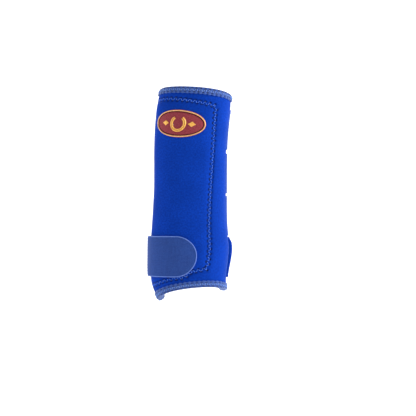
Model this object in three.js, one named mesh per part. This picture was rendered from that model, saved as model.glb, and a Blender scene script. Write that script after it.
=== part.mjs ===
// A neoprene tendon boot for a horse's lower leg: a padded sleeve that opens down its far side,
// four hook straps that close it, a fetlock sling with a round-ended hook tab,
// folded edge tapes and an oval badge.
// Millimetres. +X is the front of the leg, -Y the side with the badge, +Z up.
// The origin is the middle of the leg's space.
// Angles go round the leg in degrees: 0 at the front, 90 on the far side,
// 180 at the back, 270 on the badge side.
import * as THREE from "three";

// Sheet thicknesses and the clearance kept between neighbouring pieces
const SHELL = 4;
const LINING = 2;
const PAD = 4;
const TAPE = 1;
const TAPE_HEIGHT = 8.5;
const TAPE_CLEAR = 0.6;
const TAPE_CLEAR_INSIDE = 0.8;
const CLEAR = 0.4;
const STRAP_ROOT_THICKNESS = 2.3;
const FETLOCK_ROOT_THICKNESS = 3.2;
const HOOK = 1;
const WEBBING = 1.8;

// Where things are round the leg
const NOSE = 0;
const FLAP_EDGE = 79;
const REAR_EDGE = 86;
const STRAP_ROOT = 14;
const STRAP_TIP = 136;
const STRAP_HOOK_START = 98;
const SLING_ROOT = 140;
const SLING_BEND = 183;
const SLING_TIP = 280;
const SLING_HOOK_START = 204;
const NOSE_GAP = 0.5;

// Heights
const STRAP_HEIGHT = 50;
const SLING_HEIGHT = 50;
const STRAP_CENTRES = { upper: 82, middle: 27, lower: -26, fetlock: -78 };
const SLING_CENTRE = -76;

// The outer face of the shell, as [height, size] points
const FRONT_LINE = [
  [-136, 43.5], [-114, 44.8], [-97, 46], [-82, 47.6], [-66, 48.6], [-50, 46.8], [-34, 45.4],
  [0, 45], [60, 45.6], [90, 47.8], [112, 50.6], [136, 51.3],
];
const BACK_LINE = [
  [-136, 34.5], [-124, 42.5], [-112, 47.6], [-100, 49.2], [-75, 49.4], [-50, 48.8],
  [-12, 46.2], [10, 45], [62, 45], [104, 42.4], [119, 39.8], [136, 35],
];
const HALF_WIDTH = [
  [-136, 33], [-115, 37], [-75, 40], [-45, 38], [0, 35.5], [60, 35], [110, 37], [136, 37],
];
const SQUARENESS = 0.03;
const FRONT_FULLNESS = 0.08;

// Hems: height at mid fore-and-aft, rise towards the front, arch up each side
const TOP_HEM = { middle: 127.5, frontRise: -3.7, arch: 5.3 };
const BOTTOM_HEM = { middle: -127.8, frontRise: 6.4, arch: 12.2 };
const HEM_SOFTNESS = 0.02;

// The foam pad's outline on the badge side
const PAD_BACK = 191;
const PAD_FRONT_TOP = 306;
const PAD_FRONT_BOTTOM = 297;
const PAD_HEM_DISTANCE = 18;
const PAD_EDGE = 9;
const PAD_ROOM = 7;

// The badge: its centre, its oval, its tilt in degrees and how far its rim and horseshoe stand proud
const BADGE = {
  angle: 251.5,
  height: 87.6,
  halfLength: 33.4,
  halfHeight: 17,
  tilt: -4,
  rim: 2.2,
  thickness: 1.6,
  relief: 0.8,
};
const BADGE_FACE = BADGE.thickness + 2 * CLEAR;

const radians = THREE.MathUtils.degToRad;
const lerp = THREE.MathUtils.lerp;
const smoothstep = THREE.MathUtils.smoothstep;

// A smooth curve through [height, size] points
function profile(points) {
  const slope = (i) => {
    const [before, after] = [points[Math.max(i - 1, 0)], points[Math.min(i + 1, points.length - 1)]];
    return (after[1] - before[1]) / (after[0] - before[0]);
  };
  return (height) => {
    const z = THREE.MathUtils.clamp(height, points[0][0], points.at(-1)[0]);
    const i = Math.max(points.findIndex(([pointHeight]) => pointHeight >= z) - 1, 0);
    const [[z0, a], [z1, b]] = [points[i], points[i + 1]];
    const [d, t] = [z1 - z0, (z - z0) / (z1 - z0)];
    const [t2, t3] = [t * t, t * t * t];
    return (
      a * (2 * t3 - 3 * t2 + 1) + b * (3 * t2 - 2 * t3)
      + d * slope(i) * (t3 - 2 * t2 + t) + d * slope(i + 1) * (t3 - t2)
    );
  };
}
const frontLine = profile(FRONT_LINE);
const backLine = profile(BACK_LINE);
const halfWidth = profile(HALF_WIDTH);

// A point of the shell's outer face
function skin(angle, z) {
  const a = radians(angle);
  const [front, back] = [frontLine(z), -backLine(z)];
  const across = (Math.cos(a) - SQUARENESS * Math.cos(3 * a)) / (1 - SQUARENESS);
  const out = (Math.sin(a) + SQUARENESS * Math.sin(3 * a)) / (1 - SQUARENESS);
  return new THREE.Vector3(
    (front + back) / 2 + ((front - back) / 2) * across,
    halfWidth(z) * out * (1 + FRONT_FULLNESS * Math.cos(a)),
    z,
  );
}

// A point at an offset outwards from that face
function place(angle, z, offset) {
  const step = 0.5;
  const round = skin(angle + step, z).sub(skin(angle - step, z));
  const up = skin(angle, z + step).sub(skin(angle, z - step));
  return skin(angle, z).addScaledVector(round.cross(up).normalize(), offset);
}

// Degrees round the leg that one millimetre takes at an angle and height
function degreesPerMm(angle, z) {
  return 1 / skin(angle + 0.5, z).distanceTo(skin(angle - 0.5, z));
}

function hem({ middle, frontRise, arch }, angle) {
  const a = radians(angle);
  return middle + frontRise * Math.cos(a) + arch * Math.sqrt(Math.sin(a) ** 2 + HEM_SOFTNESS);
}
const topHem = (angle) => hem(TOP_HEM, angle);
const bottomHem = (angle) => hem(BOTTOM_HEM, angle);

const asFunction = (value) => (typeof value === "function" ? value : () => value);

// A closed mesh from rings of points: each ring joins the next, and the given triangles cap both ends
function loft(rings, caps) {
  const n = rings[0].length;
  const index = [];
  for (let k = 0; k + 1 < rings.length; k++) {
    for (let i = 0; i < n; i++) {
      const [a, b] = [k * n + i, k * n + ((i + 1) % n)];
      index.push(a, b, b + n, a, b + n, a + n);
    }
  }
  const last = (rings.length - 1) * n;
  caps.forEach(([a, b, c]) => index.push(a, c, b, last + a, last + b, last + c));
  const geometry = new THREE.BufferGeometry();
  const numbers = rings.flat().flatMap((point) => point.toArray());
  geometry.setAttribute("position", new THREE.Float32BufferAttribute(numbers, 3));
  geometry.setIndex(index);
  geometry.computeVertexNormals();
  return geometry;
}

const evenRows = (t) => t;
const hemRows = (t) => t - 0.075 * Math.sin(2 * Math.PI * t);
const roundRows = (t) => (1 - Math.cos(Math.PI * t)) / 2;

// The end triangles of a ring that runs up one face of a sheet and down the other
function stripCaps(rows) {
  return Array.from({ length: rows }, (_, j) => {
    const [low, high, highOut, lowOut] = [j, j + 1, 2 * rows - j, 2 * rows + 1 - j];
    return [[low, high, highOut], [low, highOut, lowOut]];
  }).flat();
}

// A piece of sheet that follows the leg, from start to end round it and from bottom to top.
// Each value may be a number or a function: start and end of the share of the height,
// the others of the angle, and inner and outer of the height too.
// Rows may crowd towards the hems, or towards both edges as a round end needs.
function sheet({ start, end, bottom, top, inner, outer, columns, rows, spacing = evenRows }) {
  const [from, to, low, high] = [start, end, bottom, top].map(asFunction);
  const [inside, outside] = [inner, outer].map(asFunction);
  const rings = [];
  for (let i = 0; i <= columns; i++) {
    const column = (offset) =>
      Array.from({ length: rows + 1 }, (_, j) => {
        const v = spacing(j / rows);
        const angle = lerp(from(v), to(v), i / columns);
        const z = lerp(low(angle), high(angle), v);
        return place(angle, z, offset(angle, z));
      });
    rings.push([...column(inside), ...column(outside).reverse()]);
  }
  return loft(rings, stripCaps(rows));
}

// A section of [x, y] points carried along steps 0 to count, where at(step, x, y) gives each point
function sweep(section, count, at) {
  const outline = section.map(([x, y]) => new THREE.Vector2(x, y));
  const rings = Array.from({ length: count + 1 }, (_, k) => section.map(([x, y]) => at(k / count, x, y)));
  const triangles = THREE.ShapeUtils.triangulateShape(outline, []);
  const clockwise = THREE.ShapeUtils.isClockWise(outline);
  return loft(rings, triangles.map((t) => (clockwise ? [...t].reverse() : t)));
}

const TAPE_OUTSIDE = TAPE_CLEAR;
const TAPE_INSIDE = -(SHELL + CLEAR + LINING + TAPE_CLEAR_INSIDE);

// The folded tape's section: [offset from the shell's face, distance in from the tape's outer edge]
const TAPE_SECTION = [
  [TAPE_OUTSIDE + TAPE, 0],
  [TAPE_OUTSIDE + TAPE, TAPE_HEIGHT],
  [TAPE_OUTSIDE, TAPE_HEIGHT],
  [TAPE_OUTSIDE, TAPE],
  [TAPE_INSIDE, TAPE],
  [TAPE_INSIDE, TAPE_HEIGHT],
  [TAPE_INSIDE - TAPE, TAPE_HEIGHT],
  [TAPE_INSIDE - TAPE, 0],
];

// Tape folded over a hem; side is 1 for the top and -1 for the bottom
function hemTape(start, end, side, steps) {
  const line = side > 0 ? topHem : bottomHem;
  const section = side > 0 ? TAPE_SECTION : [...TAPE_SECTION].reverse();
  return sweep(section, steps, (t, offset, inwards) => {
    const angle = lerp(start, end, t);
    return place(angle, line(angle) - side * inwards, offset);
  });
}

// Tape folded over an upright edge at an angle; side is 1 where the sheet lies at smaller angles
function edgeTape(edge, side, steps) {
  const section = side > 0 ? [...TAPE_SECTION].reverse() : TAPE_SECTION;
  const margin = TAPE_HEIGHT + CLEAR;
  return sweep(section, steps, (t, offset, inwards) => {
    const z = lerp(bottomHem(edge) + margin + 1, topHem(edge) - margin - 1, t);
    const beyond = (TAPE + CLEAR - inwards) * degreesPerMm(edge, z);
    return place(edge + side * beyond, z, offset);
  });
}

// How deep the room for the pad is at a point: full inside its outline grown by spread, nothing outside it
function padDepth(angle, z, spread) {
  const [low, high] = [bottomHem(angle), topHem(angle)];
  const front = lerp(PAD_FRONT_BOTTOM, PAD_FRONT_TOP, (z - low) / (high - low));
  const inward = Math.min(
    angle - PAD_BACK,
    front - angle,
    z - low - PAD_HEM_DISTANCE,
    high - PAD_HEM_DISTANCE - z,
  );
  return PAD * smoothstep(inward + spread, 0, PAD_EDGE + spread);
}

const HEM_ROOM = TAPE + CLEAR;
const shellBottom = (angle) => bottomHem(angle) + HEM_ROOM;
const shellTop = (angle) => topHem(angle) - HEM_ROOM;

const layer = { bottom: shellBottom, top: shellTop, rows: 16, spacing: hemRows };

function shellSheet(start, end, columns) {
  return sheet({ ...layer, start, end, columns, inner: -SHELL, outer: 0 });
}

function liningSheet(start, end, columns) {
  const outer = (angle, z) => -(SHELL + CLEAR) - padDepth(angle, z, PAD_ROOM);
  const inner = (angle, z) => outer(angle, z) - LINING;
  return sheet({ ...layer, start, end, columns, inner, outer });
}

function padSheet() {
  const thinnest = 0.5;
  return sheet({
    start: PAD_BACK,
    end: (v) => lerp(PAD_FRONT_BOTTOM, PAD_FRONT_TOP, v),
    bottom: (angle) => bottomHem(angle) + PAD_HEM_DISTANCE,
    top: (angle) => topHem(angle) - PAD_HEM_DISTANCE,
    inner: (angle, z) => -(SHELL + CLEAR) - Math.max(padDepth(angle, z, 0) - 2 * CLEAR, thinnest),
    outer: -(SHELL + CLEAR),
    columns: 13,
    rows: 12,
  });
}

// A strap that follows the leg and ends in a half circle
function strapSheet({ root, tip, centre, height, inset = 0, inner, outer, columns, rows = 8 }) {
  const radius = height / 2 - inset;
  const perMm = degreesPerMm(tip - 15, centre);
  return sheet({
    start: root,
    end: (v) => {
      const rise = (2 * v - 1) * radius;
      return tip - (inset + radius - Math.sqrt(Math.max(radius * radius - rise * rise, 0))) * perMm;
    },
    bottom: centre - radius,
    top: centre + radius,
    inner, outer, columns, rows,
    spacing: roundRows,
  });
}

const webbingInner = Math.max(HOOK + 2 * CLEAR, TAPE_OUTSIDE + TAPE + CLEAR);

// A strap's webbing lies on the shell at its root and rises onto its hook patch
function strapWebbing(centre, rootThickness) {
  const lift = (angle) => lerp(CLEAR, webbingInner, smoothstep(angle, STRAP_ROOT + 20, FLAP_EDGE - 14));
  const thickness = (angle) => lerp(rootThickness, WEBBING, smoothstep(angle, STRAP_ROOT, FLAP_EDGE));
  return strapSheet({
    root: STRAP_ROOT, tip: STRAP_TIP, centre, height: STRAP_HEIGHT,
    inner: lift,
    outer: (angle) => lift(angle) + thickness(angle),
    columns: 12,
  });
}

function strapHook(centre) {
  return strapSheet({
    root: STRAP_HOOK_START, tip: STRAP_TIP, centre, height: STRAP_HEIGHT, inset: 1,
    inner: CLEAR, outer: CLEAR + HOOK, columns: 5,
  });
}

function slingBand() {
  const [low, high] = [SLING_CENTRE - SLING_HEIGHT / 2, SLING_CENTRE + SLING_HEIGHT / 2];
  return sheet({
    start: SLING_ROOT, end: SLING_BEND, bottom: low, top: high,
    inner: CLEAR, outer: webbingInner + WEBBING, columns: 7, rows: 4,
  });
}

function slingTab() {
  return strapSheet({
    root: SLING_BEND + 0.7, tip: SLING_TIP, centre: SLING_CENTRE, height: SLING_HEIGHT,
    inner: webbingInner, outer: webbingInner + WEBBING, columns: 12, rows: 8,
  });
}

function slingHook() {
  return strapSheet({
    root: SLING_HOOK_START, tip: SLING_TIP, centre: SLING_CENTRE, height: SLING_HEIGHT, inset: 1,
    inner: CLEAR, outer: CLEAR + HOOK, columns: 9, rows: 8,
  });
}

// A point on the badge, from its own level axes
function onBadge(x, y, offset) {
  const tilt = radians(BADGE.tilt);
  const along = x * Math.cos(tilt) - y * Math.sin(tilt);
  const up = x * Math.sin(tilt) + y * Math.cos(tilt);
  const angle = BADGE.angle + along * degreesPerMm(BADGE.angle, BADGE.height);
  return place(angle, BADGE.height + up, offset);
}

function badgeBase() {
  const [columns, rows] = [12, 4];
  const blunt = 0.12;
  const rings = Array.from({ length: columns + 1 }, (_, k) => {
    const turn = lerp(blunt, Math.PI - blunt, k / columns);
    const [x, y] = [-Math.cos(turn) * BADGE.halfLength, Math.sin(turn) * BADGE.halfHeight];
    const line = (offset) =>
      Array.from({ length: rows + 1 }, (_, j) => onBadge(x, lerp(-y, y, j / rows), offset));
    return [...line(CLEAR), ...line(CLEAR + BADGE.thickness).reverse()];
  });
  return loft(rings, stripCaps(rows));
}

function badgeRim() {
  const section = [[0, 0], [1, 0], [1, 1], [0, 1]];
  const steps = 36;
  const rings = Array.from({ length: steps }, (_, k) =>
    section.map(([inwards, up]) => {
      const turn = (2 * Math.PI * k) / steps;
      const inset = 0.4 + inwards * BADGE.rim;
      const x = (BADGE.halfLength - inset) * Math.cos(turn);
      const y = (BADGE.halfHeight - inset) * Math.sin(turn);
      return onBadge(x, y, BADGE_FACE + up * BADGE.relief);
    }),
  );
  return loft([...rings, rings[0]], []);
}

// A plain horseshoe, heels up
function badgeHorseshoe() {
  const [radius, width] = [8.5, 3.6];
  const section = [[-0.5, 0], [-0.5, 1], [0.5, 1], [0.5, 0]];
  return sweep(section, 16, (t, across, up) => {
    const turn = radians(lerp(-235, 55, t));
    const r = radius + across * width;
    return onBadge(r * 0.95 * Math.cos(turn), r * Math.sin(turn), BADGE_FACE + up * BADGE.relief);
  });
}

const material = (color, roughness) => new THREE.MeshStandardMaterial({ color, roughness, metalness: 0 });
const MATERIALS = {
  neoprene: material(0x1a44b4, 0.85),
  lining: material(0x16171b, 0.9),
  foam: material(0x2b2c30, 0.9),
  tape: material(0x4a6cc0, 0.75),
  webbing: material(0x31508f, 0.7),
  hook: material(0x14204c, 0.6),
  badge: material(0x8c3540, 0.6),
  gold: material(0xd39a44, 0.45),
};

const boot = new THREE.Group();
boot.name = "tendon_boot";
function add(parent, name, slot, geometry) {
  const mesh = new THREE.Mesh(geometry, MATERIALS[slot]);
  mesh.name = name;
  parent.add(mesh);
}

const sleeve = new THREE.Group();
boot.add(sleeve);
const sleeveStart = REAR_EDGE;
const sleeveEnd = 360 + NOSE - NOSE_GAP;
add(sleeve, "outer_shell", "neoprene", shellSheet(sleeveStart, sleeveEnd, 30));
add(sleeve, "inner_lining", "lining", liningSheet(sleeveStart, sleeveEnd, 30));
add(sleeve, "splint_pad", "foam", padSheet());
add(sleeve, "top_binding", "tape", hemTape(sleeveStart, sleeveEnd, 1, 30));
add(sleeve, "bottom_binding", "tape", hemTape(sleeveStart, sleeveEnd, -1, 30));
add(sleeve, "rear_edge_binding", "tape", edgeTape(REAR_EDGE, -1, 12));
add(sleeve, "badge_base", "badge", badgeBase());
add(sleeve, "badge_rim", "gold", badgeRim());
add(sleeve, "badge_horseshoe", "gold", badgeHorseshoe());

const wrap = new THREE.Group();
boot.add(wrap);
const wrapStart = NOSE + NOSE_GAP;
add(wrap, "wrap_shell", "neoprene", shellSheet(wrapStart, FLAP_EDGE, 10));
add(wrap, "wrap_lining", "lining", liningSheet(wrapStart, FLAP_EDGE, 10));
add(wrap, "wrap_top_binding", "tape", hemTape(wrapStart, FLAP_EDGE, 1, 10));
add(wrap, "wrap_bottom_binding", "tape", hemTape(wrapStart, FLAP_EDGE, -1, 10));
add(wrap, "wrap_edge_binding", "tape", edgeTape(FLAP_EDGE, 1, 12));

for (const [name, centre] of Object.entries(STRAP_CENTRES)) {
  const strap = new THREE.Group();
  boot.add(strap);
  const [cloth, rootThickness] =
    name === "fetlock" ? ["neoprene", FETLOCK_ROOT_THICKNESS] : ["webbing", STRAP_ROOT_THICKNESS];
  add(strap, `${name}_strap`, cloth, strapWebbing(centre, rootThickness));
  add(strap, `${name}_strap_hook`, "hook", strapHook(centre));
}

const sling = new THREE.Group();
boot.add(sling);
add(sling, "sling_band", "neoprene", slingBand());
add(sling, "sling_tab", "webbing", slingTab());
add(sling, "sling_tab_hook", "hook", slingHook());

export default boot;
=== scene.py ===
"""A horse's tendon boot in royal blue neoprene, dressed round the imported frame.

The leg's surface is worked out in millimetres and in degrees round the leg, as the part's own source does:
0 at the front, 90 on the far side, 180 at the back and 270 on the badge side. Meshes are made in metres.
"""
import math

import bmesh
import bpy
import numpy as np
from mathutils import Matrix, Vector


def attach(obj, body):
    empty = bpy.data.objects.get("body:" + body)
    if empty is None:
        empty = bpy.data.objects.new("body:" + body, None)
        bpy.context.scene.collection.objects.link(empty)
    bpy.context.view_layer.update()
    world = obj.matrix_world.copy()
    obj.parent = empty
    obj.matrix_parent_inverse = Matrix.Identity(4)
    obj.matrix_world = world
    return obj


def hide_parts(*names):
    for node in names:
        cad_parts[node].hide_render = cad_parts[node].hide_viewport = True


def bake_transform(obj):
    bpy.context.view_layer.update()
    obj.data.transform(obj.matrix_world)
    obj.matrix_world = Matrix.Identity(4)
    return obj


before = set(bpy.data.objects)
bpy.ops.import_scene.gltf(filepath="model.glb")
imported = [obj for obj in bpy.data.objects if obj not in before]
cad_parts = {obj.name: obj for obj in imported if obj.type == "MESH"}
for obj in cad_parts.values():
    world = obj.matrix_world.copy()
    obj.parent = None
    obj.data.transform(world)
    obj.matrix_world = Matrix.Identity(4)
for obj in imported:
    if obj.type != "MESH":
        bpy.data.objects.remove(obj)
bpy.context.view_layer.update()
scene = bpy.context.scene
MM = 0.001


# -------- camera

VIEW_CENTRE = (0.0225, -0.01625)
VIEW_DISTANCE = 2.0
VIEW_LENS = 138.5
SENSOR_WIDTH = 36


def make_camera():
    data = bpy.data.cameras.new("camera")
    data.lens = VIEW_LENS
    data.sensor_width = SENSOR_WIDTH
    data.dof.use_dof = False
    camera = bpy.data.objects.new("camera", data)
    camera.location = (VIEW_CENTRE[0], -VIEW_DISTANCE, VIEW_CENTRE[1])
    camera.rotation_euler = (math.pi / 2, 0, 0)
    scene.collection.objects.link(camera)
    scene.camera = camera


make_camera()


# -------- the leg's surface

SHELL = 4
LINING = 2
CLEAR = 0.4
TAPE = 1
TAPE_HEIGHT = 8.5
TAPE_CLEAR = 0.6
TAPE_CLEAR_INSIDE = 0.8
HOOK = 1
WEBBING = 1.8

FLAP_EDGE = 79
REAR_EDGE = 86
BACK_SEAM = 134
SEAM_GAP = 0.5
FLAP_END = 360 + FLAP_EDGE
STRAP_ROOT = 14
STRAP_TIP = 136
STRAP_HOOK_START = 98
SLING_ROOT = 140
SLING_BEND = 183
SLING_TIP = 280
SLING_HOOK_START = 204

STRAP_HEIGHT = 50
SLING_HEIGHT = 50
STRAP_CENTRES = {"upper": 82, "middle": 27, "lower": -26, "fetlock": -78}
SLING_CENTRE = -76

FRONT_LINE = (
    (-136, 43.5), (-114, 44.8), (-97, 46), (-82, 47.6), (-66, 48.6), (-50, 46.8), (-34, 45.4),
    (0, 45), (60, 45.6), (90, 47.8), (112, 50.6), (136, 51.3),
)
BACK_LINE = (
    (-136, 34.5), (-124, 42.5), (-112, 47.6), (-100, 49.2), (-75, 49.4), (-50, 48.8),
    (-12, 46.2), (10, 45), (62, 45), (104, 42.4), (119, 39.8), (136, 35),
)
HALF_WIDTH = ((-136, 33), (-115, 37), (-75, 40), (-45, 38), (0, 35.5), (60, 35), (110, 37), (136, 37))
SQUARENESS = 0.03
FRONT_FULLNESS = 0.08
TOP_HEM = (127.5, -3.7, 5.3)
BOTTOM_HEM = (-127.8, 6.4, 12.2)
HEM_SOFTNESS = 0.02


def smooth(x, low, high):
    t = np.clip((x - low) / (high - low), 0, 1)
    return t * t * (3 - 2 * t)


def mix(a, b, t):
    return a + (b - a) * t


def unit(vectors):
    """Vectors scaled to a length of 1."""
    return vectors / np.maximum(np.linalg.norm(vectors, axis=-1, keepdims=True), 1e-9)


def lengths_along(path):
    """The distance along a path to each of its points."""
    return np.concatenate([[0], np.cumsum(np.linalg.norm(np.diff(path, axis=0), axis=1))])


def profile(points):
    """A smooth curve through (place, size) points."""
    places, sizes = np.array(points, float).T
    steps = np.arange(len(places))
    after, before = np.minimum(steps + 1, steps[-1]), np.maximum(steps - 1, 0)
    slopes = (sizes[after] - sizes[before]) / (places[after] - places[before])

    def at(place):
        x = np.clip(place, places[0], places[-1])
        i = np.clip(np.searchsorted(places, x) - 1, 0, len(places) - 2)
        d = places[i + 1] - places[i]
        t = (x - places[i]) / d
        t2, t3 = t * t, t * t * t
        ends = sizes[i] * (2 * t3 - 3 * t2 + 1) + sizes[i + 1] * (3 * t2 - 2 * t3)
        return ends + d * slopes[i] * (t3 - 2 * t2 + t) + d * slopes[i + 1] * (t3 - t2)

    return at


front_line = profile(FRONT_LINE)
back_line = profile(BACK_LINE)
half_width = profile(HALF_WIDTH)


def skin(angle, z):
    """A point of the shell's outer face, in millimetres."""
    a = np.radians(angle)
    front, back = front_line(z), -back_line(z)
    across = (np.cos(a) - SQUARENESS * np.cos(3 * a)) / (1 - SQUARENESS)
    out = (np.sin(a) + SQUARENESS * np.sin(3 * a)) / (1 - SQUARENESS)
    x = (front + back) / 2 + (front - back) / 2 * across
    y = half_width(z) * out * (1 + FRONT_FULLNESS * np.cos(a))
    return np.stack(np.broadcast_arrays(x, y, z), -1)


def place(angle, z, offset):
    """A point at an offset outwards from that face."""
    angle, z, offset = np.broadcast_arrays(*np.atleast_1d(angle, z, offset))
    step = 0.5
    around = skin(angle + step, z) - skin(angle - step, z)
    up = skin(angle, z + step) - skin(angle, z - step)
    return skin(angle, z) + unit(np.cross(around, up)) * offset[..., None]


def hem(line, angle):
    middle, front_rise, arch = line
    a = np.radians(angle)
    return middle + front_rise * np.cos(a) + arch * np.sqrt(np.sin(a) ** 2 + HEM_SOFTNESS)


# Millimetres round the leg, from an angle of 0, at mid-height; patterns and seams are laid out in them
_angles = np.arange(0, 461, 0.5)
_lengths = lengths_along(skin(_angles, 0 * _angles))


def around_mm(angle):
    return np.interp(angle, _angles, _lengths)


def angle_at(mm):
    return np.interp(mm, _lengths, _angles)


def degrees_per_mm(angle, z):
    return 1 / np.linalg.norm(skin(angle + 0.5, z) - skin(angle - 0.5, z), axis=-1)


# -------- meshes

def runs(*stops):
    """Values from the first stop to the last; each stop is (value, step to use up to the next)."""
    parts = []
    for (a, step), (b, _) in zip(stops, stops[1:]):
        parts.append(np.linspace(a, b, max(1, math.ceil(abs(b - a) / step)), endpoint=False))
    return np.append(np.concatenate(parts), stops[-1][0])


def face_outwards(data):
    """Turns every face of a closed mesh outwards."""
    work = bmesh.new()
    work.from_mesh(data)
    bmesh.ops.recalc_face_normals(work, faces=work.faces)
    work.to_mesh(data)
    work.free()


def mesh_piece(name, points, faces, material, marks=None):
    """A smooth mesh from points in millimetres; marks are values for its points that materials read."""
    data = bpy.data.meshes.new(name)
    faces = faces.tolist() if isinstance(faces, np.ndarray) else faces
    data.from_pydata((np.asarray(points) * MM).tolist(), [], faces)
    face_outwards(data)
    data.shade_smooth()
    data.materials.append(material)
    for mark, values in (marks or {}).items():
        values = np.asarray(values, np.float32)
        kind, key = ("FLOAT_VECTOR", "vector") if values.ndim == 2 else ("FLOAT", "value")
        data.attributes.new(mark, kind, "POINT").data.foreach_set(key, values.ravel())
    piece = bpy.data.objects.new(name, data)
    scene.collection.objects.link(piece)
    return piece


def grid_quads(index):
    corners = (index[:-1, :-1], index[1:, :-1], index[1:, 1:], index[:-1, 1:])
    return np.stack(corners, -1).reshape(-1, 4)


def closed_sheet(inner, outer):
    """The points and faces of a closed sheet between two grids of points."""
    count = inner.shape[0] * inner.shape[1]
    index = np.arange(count).reshape(inner.shape[:2])
    border = np.concatenate([index[:, 0], index[-1, 1:], index[-2::-1, -1], index[0, -2:0:-1]])
    following = np.roll(border, -1)
    sides = np.stack([border, following, following + count, border + count], -1)
    faces = np.concatenate([grid_quads(index)[:, ::-1], grid_quads(index + count), sides])
    return np.concatenate([inner.reshape(-1, 3), outer.reshape(-1, 3)]), faces


def on_both_faces(marks):
    """Marks for all of a closed sheet's points, from those of one face."""
    return {mark: np.concatenate([values, values]) for mark, values in marks.items()}


def slab(name, angle, z, low, high, material, marks=None, share=1.0):
    """A closed sheet between two offsets from the leg's surface, over a grid of angles and heights.

    share is how much of its thickness the sheet keeps at each point, about its middle.
    """
    angle, z, low, high = np.broadcast_arrays(angle, z, low, high)
    middle, half = (low + high) / 2, (high - low) / 2 * share
    points, faces = closed_sheet(place(angle, z, middle - half), place(angle, z, middle + half))
    values = {"cloth": np.stack([around_mm(angle), z, 0 * z], -1).reshape(-1, 3)}
    for mark, value in (marks or {}).items():
        values[mark] = np.broadcast_to(value, angle.shape).ravel()
    return mesh_piece(name, points, faces, material, on_both_faces(values))


def rounded(distance, radius):
    """The share of a sheet's thickness at a distance in from its edge, for a rounded edge."""
    t = np.clip(distance / radius, 0.03, 1)
    return np.sqrt(1 - (1 - t) ** 2)


TUBE_END = 0.35


def tube(name, paths, radius, material, sides=6, flat=1.0):
    """Threads along paths of points in millimetres, as one piece.

    A path's fourth column, where it has one, says how sunk each point is.
    """
    points, faces, cloth, sunk, start = [], [], [], [], 0
    turn = np.linspace(0, 2 * np.pi, sides, endpoint=False)
    for path in paths:
        path = np.asarray(path, float)
        depth = path[:, 3] if path.shape[1] > 3 else np.zeros(len(path))
        sunk.append(np.repeat(depth, sides))
        path = path[:, :3]
        along = unit(np.gradient(path, axis=0))
        side = unit(np.cross(along, unit(path * (1, 1, 0))))
        up = np.cross(side, along)
        taper = np.ones(len(path))
        taper[[0, -1]] = TUBE_END
        ring = (
            path[:, None]
            + radius * taper[:, None, None]
            * (side[:, None] * np.cos(turn)[:, None] + flat * up[:, None] * np.sin(turn)[:, None])
        )
        n = len(path)
        index = start + np.arange(n * sides).reshape(n, sides)
        faces += grid_quads(np.concatenate([index, index[:, :1]], axis=1)).tolist()
        faces += [index[0].tolist(), index[-1, ::-1].tolist()]
        points.append(ring.reshape(-1, 3))
        lengths = np.repeat(lengths_along(path), sides)
        cloth.append(np.stack([lengths, np.tile(turn, n), 0 * lengths], -1))
        start += n * sides
    marks = {"cloth": np.concatenate(cloth), "sunk": np.concatenate(sunk)}
    return mesh_piece(name, np.concatenate(points), faces, material, marks)


# -------- materials

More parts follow.
